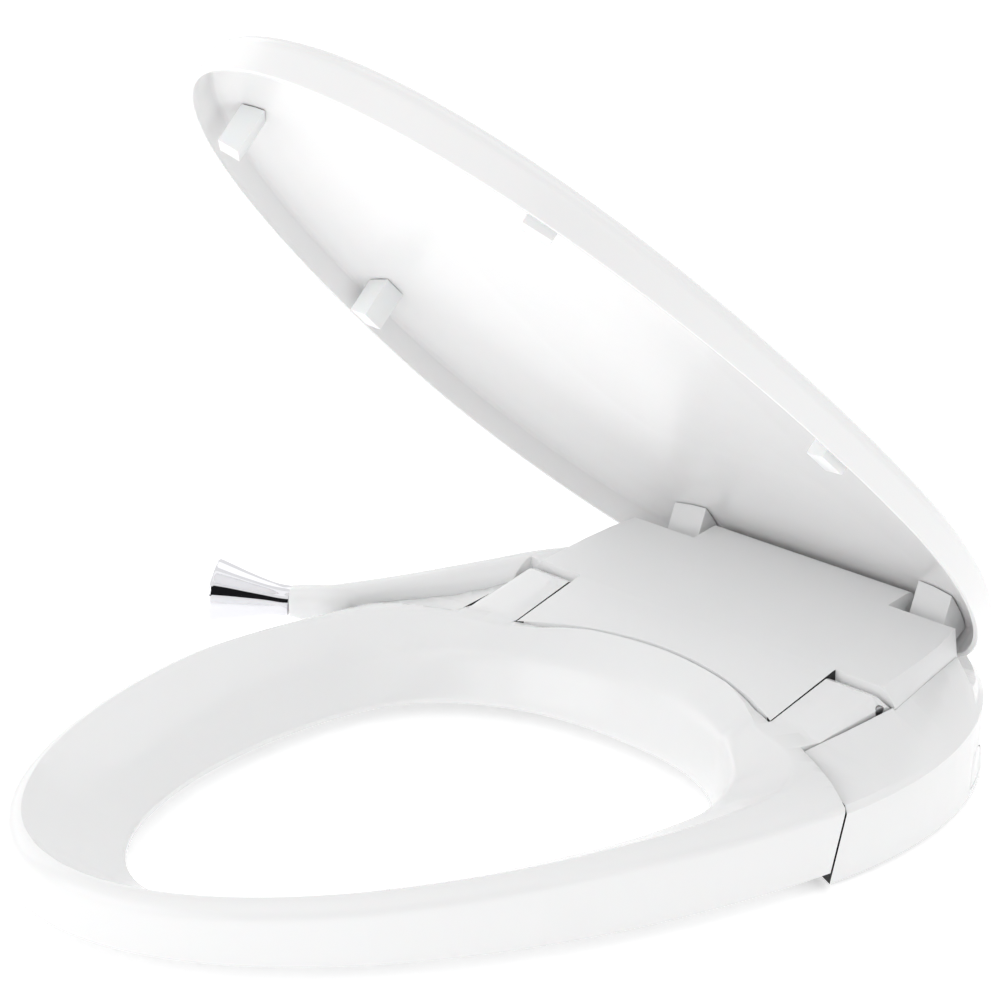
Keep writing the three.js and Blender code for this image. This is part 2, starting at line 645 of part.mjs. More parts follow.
function makeHousing() {
  const shell = housingShell();
  const cover = shell.intersect(coverZone(0)).subtract(pinHoles());
  add("top_cover", cover.subtract(lidPinHoles()).subtract(damperBores()), "satin");
  const holes = union([
    pinHoles(), lidPinHoles(), screwHoles(boss.hole), buttonZone(fit), armPassage(), inletHole(),
  ]);
  const open = shell.subtract(coverZone(fit)).add(screwPosts());
  add("rear_housing", open.subtract(holes).subtract(wandMouth()), "gloss");
  add("base_chassis", baseChassis(), "inner");
  add("mounting_plate", mountingPlate(), "inner");
  screwPlaces.forEach(([x, y], i) => {
    const place = i === 0 ? "front" : "rear";
    add(`chassis_screw_${place}_right`, chassisScrew(x, y), "steel");
    add(`chassis_screw_${place}_left`, chassisScrew(-x, y), "steel");
  });
}

function wandMouth() {
  const half = opening.halfWidth;
  return box(-half, half, opening.front - 3, opening.back, region.low, opening.top);
}

function lidPinHoles() {
  const hole = crossRod(lidPin.from - 1, notch.inner + 1, lid.hingeY, lid.hingeZ, lidPin.radius + fit);
  return hole.add(hole.mirror([1, 0, 0]));
}

function damperBores() {
  const bore = crossRod(damper.from - fit, damper.to + fit, lid.hingeY, lid.hingeZ, damper.radius + fit);
  return bore.add(bore.mirror([1, 0, 0]));
}

function baseChassis() {
  const inset = wall + fit;
  const slab = deckForm(inset).intersect(behindSeam(seam / 2 + inset))
    .intersect(rearBlock(deck.bottom, deck.bottom + chassis.thick));
  const roof = plate.thick + fit + chassis.pocketWall;
  const [w, d] = [plate.halfWidth + fit, plate.halfDepth + fit];
  const [wide, deep] = [w + chassis.pocketWall, d + chassis.pocketWall];
  const pocket = box(-wide, wide, -deep, deep, deck.bottom, roof);
  const bosses = atScrews((x, y) => uprightRod(x, y, deck.bottom, boss.top, boss.radius, 24));
  const recessTop = deck.bottom + screw.recess + screw.headHeight + fit;
  const recesses = atScrews((x, y) => uprightRod(x, y, 0, recessTop, screw.head + fit, 20));
  const y = (button.front + button.back) / 2;
  const { from, to, half } = latchStop;
  const stop = box(from, to, y - half, y + half, deck.bottom, button.barZ + 5);
  const [h, z] = [button.barHalf + fit, button.barZ];
  const stopHole = box(from - 1, to + 1, y - h, y + h, z - h, z + h);
  return union([slab, pocket, stop, ...bosses]).subtract(stopHole)
    .subtract(box(-w, w, -d, d, region.low, plate.thick + fit))
    .subtract(union(recesses)).subtract(screwHoles(boss.hole)).subtract(wandMouth());
}

function mountingPlate() {
  const body = box(-plate.halfWidth, plate.halfWidth, -plate.halfDepth, plate.halfDepth, 0, plate.thick);
  const slot = new THREE.Shape();
  const straight = (plate.slotLength - plate.slotWidth) / 2;
  slot.absarc(0, straight, plate.slotWidth / 2, 0, Math.PI, false);
  slot.absarc(0, -straight, plate.slotWidth / 2, Math.PI, 2 * Math.PI, false);
  const cut = upward(slot, -1, plate.thick + 1, 12);
  const half = plate.boltSpacing / 2;
  return body.subtract(cut.translate([half, 0, 0])).subtract(cut.translate([-half, 0, 0]));
}

function chassisScrew(x, y) {
  const from = deck.bottom + screw.recess;
  const headTop = from + screw.headHeight;
  const head = uprightRod(x, y, from, headTop, screw.head, 20);
  const shank = uprightRod(x, y, headTop - 0.1, headTop + screw.length, screw.shank, 12);
  const [l, w] = [screw.slotLength / 2, screw.slotWidth / 2];
  const slot = box(x - l, x + l, y - w, y + w, 0, from + screw.headHeight / 2);
  return head.add(shank).subtract(slot);
}

// Hinge hardware
function makeHinges() {
  for (const [side, sign] of [["right", 1], ["left", -1]]) {
    const pin = (span, y, z, radius) => {
      const ends = [span.from * sign, span.to * sign].sort((a, b) => a - b);
      return crossRod(...ends, y, z, radius, 20);
    };
    add(`seat_pin_${side}`, pin(seatHinge, seatHinge.y, seatHinge.z, seatHinge.pin), "steel");
    add(`lid_pin_${side}`, pin(lidPin, lid.hingeY, lid.hingeZ, lidPin.radius), "steel");
    add(`lid_damper_${side}`, pin(damper, lid.hingeY, lid.hingeZ, damper.radius), "inner");
  }
}

// Spray wand
function makeWand() {
  const tube = rod(onWand(0), onWand(wandTube.length), wandTube.outer, wandTube.outer, 28);
  const bore = rod(onWand(-1), onWand(wandTube.length - 3), wandTube.inner, wandTube.inner, 28);
  const [from, to] = [wandTube.length - 4, wandTube.length + 1].map(onWand);
  const port = rod(from, to, wandTube.port, wandTube.port, 12);
  add("wand_guide", tube.subtract(bore).subtract(port), "inner");
  const start = wand.tipLength - wand.proud;
  add("spray_wand", rod(onWand(start + 0.3), onWand(start + wand.length - wand.back), wand.radius), "satin");
  const tip = rod(onWand(-wand.proud), onWand(start), wand.tip, wand.tip, 28);
  const way = wandWay();
  const up = new THREE.Vector3(0, way.z, -way.y);
  const jets = jet.at.map((d) => {
    const [from, to] = [jet.from, jet.to].map((rise) => onWand(d).addScaledVector(up, rise));
    return rod(from, to, jet.radius, jet.radius, 10);
  });
  add("wand_tip", tip.subtract(union(jets)), "satin");
  const sealAt = start + wand.length - wand.back + 0.3;
  add("wand_seal", rod(onWand(sealAt), onWand(sealAt + wand.sealThick), wand.seal), "rubber");
}

class Helix extends THREE.Curve {
  constructor(from, to, radius, turns) {
    super();
    Object.assign(this, { from, to, radius, turns });
    this.way = to.clone().sub(from).normalize();
    this.side = new THREE.Vector3(1, 0, 0);
    if (Math.abs(this.way.x) > 0.9) this.side.set(0, 0, 1);
    this.across = this.way.clone().cross(this.side).normalize();
  }
  getPoint(t) {
    const turn = t * this.turns * 2 * Math.PI;
    return this.from.clone().lerp(this.to, t)
      .addScaledVector(this.side, this.radius * Math.cos(turn))
      .addScaledVector(this.across, this.radius * Math.sin(turn));
  }
}

function tubeAlong(curve, radius, sides, steps) {
  const section = new THREE.Shape();
  section.absarc(0, 0, radius, 0, 2 * Math.PI, false);
  const options = { steps, extrudePath: curve, curveSegments: sides / 2, bevelEnabled: false };
  return solid(new THREE.ExtrudeGeometry(section, options));
}

function makeSprings() {
  const [near, far] = [wandCoil.inset, wandTube.length - wandCoil.inset].map(onWand);
  const wandSpring = new Helix(near, far, wandCoil.radius, wandCoil.turns);
  add("wand_spring", tubeAlong(wandSpring, wandCoil.wire, 6, 60), "steel");
  const y = (button.front + button.back) / 2;
  const ends = [latchStop.to + 1, ovalHalfWidth(ringOval, y) - button.thick - 13];
  const [from, to] = ends.map((x) => new THREE.Vector3(x, y, button.barZ));
  const buttonSpring = new Helix(from, to, buttonCoil.radius, buttonCoil.turns);
  add("button_spring", tubeAlong(buttonSpring, buttonCoil.wire, 6, 40), "steel");
}

// Control arm, valve and knob
const knobPoint = (distance) => knobAt.clone().addScaledVector(knobWay, distance);

function armForm(inset, extend = 0) {
  const stations = [
    ...armNeck.map(({ behind, ...rest }) => ({ middle: knobPoint(-behind), ...rest })),
    ...armRoot.map(({ x, y, ...rest }) => ({ middle: new THREE.Vector3(x, y, 0), ...rest })),
  ];
  const sections = stations.map(({ middle, top, bottom, half }, i) => {
    const before = stations[Math.max(0, i - 1)].middle;
    const after = stations[Math.min(stations.length - 1, i + 1)].middle;
    const way = after.clone().sub(before).setZ(0).normalize();
    const end = i === 0 ? -extend : i === stations.length - 1 ? extend : 0;
    const side = new THREE.Vector3(way.y, -way.x, 0);
    const [wide, tall] = [half - inset, (top - bottom) / 2 - inset];
    return Array.from({ length: arm.sides }, (_, k) => {
      const turn = (k / arm.sides) * 2 * Math.PI;
      const [c, d] = [Math.cos(turn), Math.sin(turn)];
      const across = wide * Math.sign(c) * Math.abs(c) ** (2 / arm.squareness);
      const rise = tall * Math.sign(d) * Math.abs(d) ** (2 / arm.squareness);
      const p = middle.clone().setZ((top + bottom) / 2 + rise);
      return p.addScaledVector(side, across).addScaledVector(way, end);
    });
  });
  return loft(sections);
}

const armPassage = () => armForm(-fit).subtract(earRoom(seam));

// The space of the seat's ears, which the arm stays clear of.
function earRoom(margin) {
  const x = ear.outerRear + margin;
  return box(-x, x, ear.corner - 20, ear.rear + margin, 0, region.high);
}

// Both tubes follow the arm, one on each side of its middle, and part inside the housing.
function tubePath(side) {
  const s = tubes.spacing * side;
  const aside = new THREE.Vector3(s * 0.65, -s * 0.75, 0);
  const points = [knobPoint(-cartridge.from - cartridge.length - 1.5).add(aside)];
  for (const [x, y, z] of tubes.stations) points.push(new THREE.Vector3(x + s * 0.85, y - s * 0.5, z));
  for (const place of side > 0 ? tubes.spray : tubes.supply) points.push(new THREE.Vector3(...place));
  if (side > 0) {
    const turn = new THREE.Vector3(...tubes.sprayTurn);
    points.push(onWand(wandTube.length + 6).add(turn), onWand(wandTube.length + 1.6));
  } else {
    points.push(...tubes.inletRun.map((y) => new THREE.Vector3(inlet.x, y, inlet.z)));
  }
  return new THREE.CatmullRomCurve3(points);
}

const inletPoint = (behind) => new THREE.Vector3(inlet.x, deck.back + behind, inlet.z);

function inletHole() {
  return rod(inletPoint(-12), inletPoint(5), inlet.radius + fit);
}

function inletFitting() {
  const { radius, flange, bore, inside, out } = inlet;
  const stem = rod(inletPoint(-inside), inletPoint(out), radius);
  const nut = rod(inletPoint(-inside), inletPoint(-wall - fit - 0.2), flange, flange, 6);
  const collar = rod(inletPoint(fit), inletPoint(3), flange, flange, 24);
  const way = rod(inletPoint(3 - inside), inletPoint(out + 1), bore, bore, 16);
  return union([stem, nut, collar]).subtract(way);
}

function knobBody() {
  const stations = knob.flare.map(([radius, share]) => new THREE.Vector3(radius, share * knob.length, 0));
  const profile = new THREE.CatmullRomCurve3(stations).getPoints(8).map((p) => new THREE.Vector2(p.x, p.y));
  const wide = knob.flare.at(-1)[0];
  const dome = [[wide - 1.4, 0.6], [wide * 0.6, 1.9], [0, 2.4]];
  const outline = [
    new THREE.Vector2(0, 0), ...profile, ...dome.map(([x, past]) => new THREE.Vector2(x, knob.length + past)),
  ];
  const turned = new THREE.LatheGeometry(outline, 28);
  turned.applyQuaternion(new THREE.Quaternion().setFromUnitVectors(new THREE.Vector3(0, 1, 0), knobWay));
  turned.translate(knobAt.x, knobAt.y, knobAt.z);
  const bore = spindle.radius + spindle.play;
  return solid(turned).subtract(rod(knobPoint(-1), knobPoint(spindle.into + fit), bore, bore, 20));
}

function makeControl() {
  const bore = armForm(arm.wall, 3);
  const neck = rod(knobPoint(-0.6), knobPoint(-4.6), arm.neck);
  const shell = armForm(0).subtract(bore.subtract(neck)).subtract(earRoom(1))
    .subtract(deckForm(-fit).intersect(behindSeam(-4)));
  const { from, length, depth } = cartridge;
  const hole = spindle.radius + fit;
  add("control_arm", shell.subtract(rod(knobPoint(1), knobPoint(-6), hole, hole, 20)), "gloss");
  const body = rod(knobPoint(-from), knobPoint(-from - length), cartridge.radius);
  const seat = rod(knobPoint(0), knobPoint(-from - depth), hole, hole, 20);
  add("valve_cartridge", body.subtract(seat), "brass");
  const stem = rod(knobPoint(spindle.into), knobPoint(1 - from - depth), spindle.radius, spindle.radius, 20);
  add("valve_spindle", stem, "brass");
  add("control_knob", knobBody(), "chrome");
  add("spray_tube", tubeAlong(tubePath(1), tubes.radius, 8, 26), "inner");
  add("supply_tube", tubeAlong(tubePath(-1), tubes.radius, 8, 26), "inner");
  add("inlet_fitting", inletFitting(), "brass");
}

// Quick-release button and its latch bar
function makeButton() {
  const skin = deckForm().subtract(deckForm(button.thick)).intersect(buttonZone(0));
  add("release_button", skin, "gloss");
  const y = (button.front + button.back) / 2;
  const reach = ovalHalfWidth(ringOval, y) - button.thick - 5;
  const [h, z] = [button.barHalf, button.barZ];
  const bar = box(button.barEnd, reach, y - h, y + h, z - h, z + h);
  const { length, halfWidth, below, above } = latchHead;
  const head = box(reach - length, reach, y - halfWidth, y + halfWidth, z - below, z + above);
  add("latch_bar", bar.add(head), "inner");
}

// Lid, built closed about its hinge line and then swung open
function lidOutline(inset, edge, z) {
  const points = [];
  for (let i = 0; i < aroundSteps; i++) {
    const angle = (i / aroundSteps) * 2 * Math.PI;
    const atSide = Math.cos(angle) ** 2;
    const atRear = smooth(Math.sin(angle), 0.6, 0.85);
    const nearRim = clamp((lidShape.tightTo - edge) / lidShape.tightOver, 0, 1);
    const back = lid.backEdge - inset - edge * lerp(1, lidShape.rearTightness, atRear * nearRim);
    const p = onOval(lidOval, angle, inset + edge);
    const over = p.y - back;
    const soft = Math.max(0, lid.backCorner - Math.max(0, -over)) / lid.backCorner;
    const corner = 0.12 * lid.backCorner;
    const y = over > 0 ? back - corner * Math.max(0, 1 - over / 8) : p.y - corner * soft * soft;
    const drop = lidShape.sideDrop * atSide * clamp(z / 9, 0, 1) * clamp(1 - edge / lidShape.dropTo, 0, 1);
    points.push(new THREE.Vector3(p.x, y, z - drop));
  }
  return points;
}

function lidForm(inset, drop, rise = lidRise) {
  const rim = lidOutline(inset, 0, lid.rim - drop);
  return loft([rim, ...rise.map(([edge, z]) => lidOutline(inset, edge, z))]);
}

// The room inside the lid, down to a depth below its rim.
function underLid(drop) {
  return lidForm(wall + fit, drop, lidRiseInside.map(([edge, z]) => [edge, z - fit]));
}

function hingeArmBody(sign) {
  const { barrel, side, inner, outer } = hingeArm;
  const shape = new THREE.Shape();
  shape.moveTo(barrel, 0);
  for (const [y, z] of side) shape.lineTo(y, z);
  shape.lineTo(-barrel, 0);
  shape.absarc(0, 0, barrel, Math.PI, 2 * Math.PI, false);
  const [from, to] = [inner * sign, outer * sign].sort((a, b) => a - b);
  const body = acrossX(shape, from, to, 20).intersect(underLid(0));
  return body.subtract(crossRod(from - 1, to + 1, 0, 0, lidPin.radius + fit, 20));
}

function lidStop(x, y, angle) {
  const [l, w] = [lidBumper.length / 2, lidBumper.width / 2];
  const t = lidBumper.wall;
  const top = lidBumper.top;
  const outer = box(-l, l, -w, w, lid.rim - lidBumper.proud, top);
  const hollow = box(-l + t, l - t, -w + t, w - t, lid.rim, top + 1);
  const placed = outer.subtract(hollow).rotate([0, 0, angle]).translate([x, y, 0]);
  return placed.intersect(underLid(20));
}

function makeLid() {
  const group = new THREE.Group();
  group.position.set(0, lid.hingeY, lid.hingeZ);
  group.rotation.x = -radians(lid.open);
  add("lid_shell", lidForm(0, 0).subtract(lidForm(wall, 6, lidRiseInside)), "gloss", group);
  add("lid_hinge_right", hingeArmBody(1), "satin", group);
  add("lid_hinge_left", hingeArmBody(-1), "satin", group);
  lidBumpers.forEach(([x, y, angle], i) => {
    const place = i === 0 ? "side" : "front";
    add(`lid_bumper_${place}_right`, lidStop(x, y, angle), "rubber", group);
    add(`lid_bumper_${place}_left`, lidStop(-x, y, -angle), "rubber", group);
  });
  part.add(group);
}

makeSeat();
makeHousing();
makeHinges();
makeWand();
makeSprings();
makeControl();
makeButton();
makeLid();

export default part;
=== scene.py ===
import json
import math

import bmesh
import bpy
import numpy as np
from mathutils import Matrix, Vector

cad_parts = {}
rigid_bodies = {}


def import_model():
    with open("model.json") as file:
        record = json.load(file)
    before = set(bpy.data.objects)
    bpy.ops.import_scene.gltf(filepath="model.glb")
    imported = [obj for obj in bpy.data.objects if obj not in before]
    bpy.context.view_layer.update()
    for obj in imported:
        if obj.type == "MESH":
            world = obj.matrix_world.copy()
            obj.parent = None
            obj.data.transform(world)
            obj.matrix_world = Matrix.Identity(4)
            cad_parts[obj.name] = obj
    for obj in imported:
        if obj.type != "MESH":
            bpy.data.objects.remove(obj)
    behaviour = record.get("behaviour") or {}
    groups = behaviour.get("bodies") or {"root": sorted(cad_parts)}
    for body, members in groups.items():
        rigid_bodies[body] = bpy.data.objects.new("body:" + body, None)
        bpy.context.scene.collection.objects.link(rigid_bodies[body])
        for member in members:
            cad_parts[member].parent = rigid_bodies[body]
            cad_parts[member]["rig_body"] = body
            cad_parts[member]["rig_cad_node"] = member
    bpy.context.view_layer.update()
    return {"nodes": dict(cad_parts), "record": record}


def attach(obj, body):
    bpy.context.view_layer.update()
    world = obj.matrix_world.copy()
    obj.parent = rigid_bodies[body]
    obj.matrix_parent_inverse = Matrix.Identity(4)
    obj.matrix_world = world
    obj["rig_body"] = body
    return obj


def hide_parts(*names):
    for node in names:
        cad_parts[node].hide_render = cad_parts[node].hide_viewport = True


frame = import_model()
print("frame loaded")

# camera: focal length and centre offset in the frame's own pixels
cameraView = {
    "place": (1.288651, -1.272233, 0.681022),
    "azimuth": 50.027,
    "elevation": 17.581,
    "roll": -0.26,
    "focal": 3696.06,
    "offCentre": (-0.0198, -0.0017),
    "sensor": 36.0,
    "frameWidth": 1000,
}


def makeCamera():
    lens = bpy.data.cameras.new("camera")
    lens.sensor_fit = "HORIZONTAL"
    lens.sensor_width = cameraView["sensor"]
    lens.lens = cameraView["focal"] / cameraView["frameWidth"] * cameraView["sensor"]
    lens.shift_x, lens.shift_y = cameraView["offCentre"]
    lens.clip_start = 0.05
    lens.clip_end = 60
    holder = bpy.data.objects.new("camera", lens)
    bpy.context.scene.collection.objects.link(holder)
    turn = Matrix.Rotation(math.radians(cameraView["azimuth"]), 4, "Z")
    turn = turn @ Matrix.Rotation(math.radians(90 - cameraView["elevation"]), 4, "X")
    turn = turn @ Matrix.Rotation(math.radians(cameraView["roll"]), 4, "Z")
    holder.matrix_world = Matrix.Translation(cameraView["place"]) @ turn
    bpy.context.scene.camera = holder


makeCamera()
print("camera placed")


# helpers for modelling and materials
def pickOnly(piece):
    bpy.ops.object.select_all(action="DESELECT")
    piece.select_set(True)
    bpy.context.view_layer.objects.active = piece


def editPiece(piece, *steps):
    pickOnly(piece)
    bpy.ops.object.mode_set(mode="EDIT")
    bpy.ops.mesh.select_all(action="SELECT")
    for step, options in steps:
        step(**options)
    bpy.ops.object.mode_set(mode="OBJECT")


def copyNode(node, name):
    piece = frame["nodes"][node].copy()
    piece.data = frame["nodes"][node].data.copy()
    piece.name = name
    piece.parent = None
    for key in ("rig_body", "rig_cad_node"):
        if key in piece:
            del piece[key]
    bpy.context.scene.collection.objects.link(piece)
    editPiece(piece, (bpy.ops.mesh.remove_doubles, {"threshold": 1e-5}))
    return piece


def softenEdges(piece, width, angle, segments=3):
    pickOnly(piece)
    soften = piece.modifiers.new("soften", "BEVEL")
    soften.width = width
    soften.segments = segments
    soften.limit_method = "ANGLE"
    soften.angle_limit = math.radians(angle)
    soften.harden_normals = False
    soften.use_clamp_overlap = True
    bpy.ops.object.modifier_apply(modifier=soften.name)


def smoothShade(piece, angle=30):
    pickOnly(piece)
    bpy.ops.object.shade_smooth_by_angle(angle=math.radians(angle))


def finishPiece(piece, body, slotName, material, *nodes):
    piece.data.materials.clear()
    piece.data.materials.append(material)
    paintSeamShade(piece)
    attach(piece, body)
    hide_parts(*nodes)


class Nodes:
    def __init__(self, name):
        self.material = bpy.data.materials.new(name)
        self.material.use_nodes = True
        self.tree = self.material.node_tree
        self.shader = self.tree.nodes["Principled BSDF"]
        self.place = self.add("ShaderNodeTexCoord").outputs["Object"]

    def add(self, kind, **values):
        node = self.tree.nodes.new(kind)
        for key, value in values.items():
            if key in node.inputs:
                node.inputs[key].default_value = value
            else:
                setattr(node, key, value)
        return node

    def join(self, start, end):
        self.tree.links.new(start, end)

    def noise(self, scale, detail=3.0, roughness=0.5):
        noise = self.add("ShaderNodeTexNoise", Scale=scale, Detail=detail, Roughness=roughness)
        self.join(self.place, noise.inputs["Vector"])
        return noise.outputs["Fac"]

    def spread(self, value, low, high):
        between = self.add("ShaderNodeMapRange")
        between.inputs["To Min"].default_value = low
        between.inputs["To Max"].default_value = high
        self.join(value, between.inputs["Value"])
        return between.outputs["Result"]

    def tint(self, value, dark, light):
        mix = self.add("ShaderNodeMix", data_type="RGBA")
        mix.inputs[6].default_value = (*dark, 1)
        mix.inputs[7].default_value = (*light, 1)
        self.join(value, mix.inputs[0])
        self.join(mix.outputs[2], self.shader.inputs["Base Color"])

    def bump(self, value, strength, distance):
        bump = self.add("ShaderNodeBump", Strength=strength, Distance=distance)
        self.join(value, bump.inputs["Height"])
        self.join(bump.outputs["Normal"], self.shader.inputs["Normal"])


plasticBody = {"glowDepth": 0.003, "ior": 1.5}


def plastic(name, look):
    nodes = Nodes(name)
    nodes.tint(nodes.noise(look["cloud"], 2.0), look["dark"], look["light"])
    roughness = nodes.spread(nodes.noise(look["patch"], 4.0), *look["roughness"])
    nodes.join(roughness, nodes.shader.inputs["Roughness"])
    grain = nodes.noise(look["grain"], look["grainDetail"])
    nodes.bump(grain, look["grainStrength"], look["grainHeight"])
    nodes.shader.inputs["Coat Weight"].default_value = look["coat"]
    nodes.shader.inputs["Coat Roughness"].default_value = look["coatRoughness"]
    nodes.shader.inputs["Subsurface Weight"].default_value = look["glow"]
    nodes.shader.inputs["Subsurface Scale"].default_value = plasticBody["glowDepth"]
    nodes.shader.inputs["IOR"].default_value = plasticBody["ior"]
    return nodes.material


glossLook = {
    "dark": (0.845, 0.848, 0.85), "light": (0.87, 0.87, 0.872), "cloud": 6, "patch": 40,
    "roughness": (0.2, 0.26), "grain": 260, "grainDetail": 2.0, "grainStrength": 0.05,
    "grainHeight": 0.0004, "coat": 0.2, "coatRoughness": 0.16, "glow": 0.05,
}
satinLook = {
    "dark": (0.835, 0.838, 0.84), "light": (0.86, 0.86, 0.862), "cloud": 8, "patch": 60,
    "roughness": (0.38, 0.48), "grain": 2200, "grainDetail": 4.0, "grainStrength": 0.35,
    "grainHeight": 0.0002, "coat": 0.0, "coatRoughness": 0.3, "glow": 0.03,
}
# near-black finish for the seam walls: painted shade standing in for the shadow inside the gap
seamShadePaintLook = {
    "dark": (0.02, 0.02, 0.02), "light": (0.03, 0.03, 0.03), "cloud": 12, "patch": 90,
    "roughness": (0.6, 0.75), "grain": 1500, "grainDetail": 3.0, "grainStrength": 0.3,
    "grainHeight": 0.0002, "coat": 0.0, "coatRoughness": 0.3, "glow": 0.0,
}
innerLook = {
    "dark": (0.6, 0.61, 0.62), "light": (0.68, 0.69, 0.7), "cloud": 12, "patch": 90,
    "roughness": (0.45, 0.6), "grain": 1500, "grainDetail": 3.0, "grainStrength": 0.3,
    "grainHeight": 0.0002, "coat": 0.0, "coatRoughness": 0.3, "glow": 0.0,
}
rubberLook = {
    "dark": (0.9, 0.905, 0.91), "light": (0.95, 0.95, 0.95), "cloud": 30, "patch": 120,
    "roughness": (0.3, 0.45), "grain": 1800, "grainDetail": 3.0, "grainStrength": 0.25,
    "grainHeight": 0.0002, "coat": 0.2, "coatRoughness": 0.2, "glow": 0.15,
}


def metal(name, look):
    nodes = Nodes(name)
    nodes.tint(nodes.noise(look["cloud"], 2.0), look["dark"], look["light"])
    roughness = nodes.spread(nodes.noise(look["patch"], 5.0), *look["roughness"])
    nodes.join(roughness, nodes.shader.inputs["Roughness"])
    nodes.bump(nodes.noise(look["grain"], 3.0), look["grainStrength"], look["grainHeight"])
    nodes.shader.inputs["Metallic"].default_value = 1.0
    return nodes.material


chromeLook = {"dark": (0.80, 0.80, 0.83), "light": (0.86, 0.86, 0.89), "cloud": 25, "patch": 200,
              "roughness": (0.03, 0.06), "grain": 300, "grainStrength": 0.02, "grainHeight": 0.0001}
steelLook = {"dark": (0.5, 0.51, 0.52), "light": (0.62, 0.63, 0.64), "cloud": 60, "patch": 400,
             "roughness": (0.25, 0.4), "grain": 2500, "grainStrength": 0.3, "grainHeight": 0.0001}
brassLook = {"dark": (0.6, 0.45, 0.2), "light": (0.7, 0.55, 0.28), "cloud": 50, "patch": 300,
             "roughness": (0.25, 0.4), "grain": 2000, "grainStrength": 0.25, "grainHeight": 0.0001}

# second material for the seam walls, painted shade for the gap's shadow
seamShadeMaterial = plastic("paintedSeamShade", seamShadePaintLook)
materials = {
    "gloss_white": plastic("glossWhite", glossLook),
    "satin_white": plastic("satinWhite", satinLook),
    "inner_plastic": plastic("innerPlastic", innerLook),
    "rubber": plastic("softRubber", rubberLook),
    "steel": metal("plainSteel", steelLook),
    "brass": metal("machinedBrass", brassLook),
    "chrome": metal("polishedChrome", chromeLook),
}
print("materials made")

# the seam between the seat and the housing in plan, right half, in millimetres; its walls are painted
# near-black as painted shade for the shadow in the gap, and past the ears they lean back towards the floor
seamLook = {
    "inner": 95, "outerFront": 130, "outerRear": 134, "corner": -128, "rear": -72,
    "arcRadius": 247, "arcTop": -97, "arcSteps": 12, "wing": [(158, -141), (176, -149), (195, -157)],
    "lean": 0.32, "leanTop": 36, "leanFrom": 150,
    "near": 1.0, "innerReach": 4, "rearReach": 3, "level": 0.5, "facingFront": -0.7,
}


def seamLine():
    look = seamLook
    half = math.asin(look["inner"] / look["arcRadius"])
    arc = []
    for i in range(look["arcSteps"] + 1):
        turn = half * i / look["arcSteps"]
        fall = look["arcRadius"] * (1 - math.cos(turn))
        arc.append((look["arcRadius"] * math.sin(turn), look["arcTop"] - fall))
    ear = [(look["inner"], look["rear"]), (look["outerRear"], look["rear"])]
    return arc + ear + [(look["outerFront"], look["corner"])] + look["wing"]


def fromSeam(x, y, line):
    best = math.inf
    for (ax, ay), (bx, by) in zip(line, line[1:]):
        wayX, wayY = bx - ax, by - ay
        along = ((x - ax) * wayX + (y - ay) * wayY) / (wayX ** 2 + wayY ** 2)
        along = min(1, max(0, along))
        best = min(best, math.hypot(x - ax - along * wayX, y - ay - along * wayY))
    return best


def paintSeamShade(piece):
    # paints the seam walls near-black as painted shade for the gap's shadow; walls facing front behind the
    # ears stay white
    if piece.name not in ("seat_ring_skin", "rear_housing_skin", "top_cover_skin"):
        return
    look = seamLook
    line = seamLine()
    piece.data.materials.append(seamShadeMaterial)
    for face in piece.data.polygons:
        x, y, z = (1000 * v for v in face.center)
        behindEar = face.normal.y < look["facingFront"] and y > look["rear"] - look["rearReach"]
        if abs(face.normal.z) > look["level"] or behindEar or abs(x) <= look["inner"] - look["innerReach"]:
            continue
        lean = look["lean"] * max(0, look["leanTop"] - z) if abs(x) > look["leanFrom"] else 0
        if fromSeam(abs(x), y + lean, line) < look["near"]:
            face.material_index = 1


# every shown CAD node first takes the finish of its record slot
slotOf = {part["node"]: part["material_slot"] for part in frame["record"]["subparts"]}
for nodeName, node in frame["nodes"].items():
    node.data.materials.clear()
    node.data.materials.append(materials[slotOf[nodeName]])

# pieces whose form is right, with merged smooth skin and softened edges
edgeWidths = {
    "top_cover": ("base", 0.0006),
    "rear_housing": ("base", 0.0006),
    "lid_bumper_side_right": ("lid", 0.0003),
    "lid_bumper_side_left": ("lid", 0.0003),
    "lid_bumper_front_right": ("lid", 0.0003),
    "lid_bumper_front_left": ("lid", 0.0003),
    "lid_hinge_right": ("lid", 0.0008),
    "lid_hinge_left": ("lid", 0.0008),
    "release_button": ("button", 0.0004),
}
for nodeName, (body, width) in edgeWidths.items():
    piece = copyNode(nodeName, nodeName + "_skin")
    softenEdges(piece, width, 28)
    smoothShade(piece, 32)
    finishPiece(piece, body, slotOf[nodeName], materials[slotOf[nodeName]], nodeName)
print("skins made")


def between(a, b, share):
    return a + (b - a) * share


def smoothShare(value, low, high):
    share = min(1, max(0, (value - low) / (high - low)))
    return share * share * (3 - 2 * share)


def throughPoints(table, value):
    # smooth value from a table of (place, value) rows
    for (a, low), (b, high) in zip(table, table[1:]):
        if value <= b:
            return between(low, high, smoothShare(value, a, b))
    return table[-1][1]


def onOval(oval, angle, inset=0.0):
    c, s = math.cos(angle), math.sin(angle)
    reach = (oval["front"] if s < 0 else oval["rear"]) - inset
    power = 2 / (oval["frontPower"] if s < 0 else oval["rearPower"])
    x = (oval["halfWidth"] - inset) * math.copysign(abs(c) ** power, c)
    y = oval["middleY"] + reach * math.copysign(abs(s) ** power, s)
    return np.array([x, y])


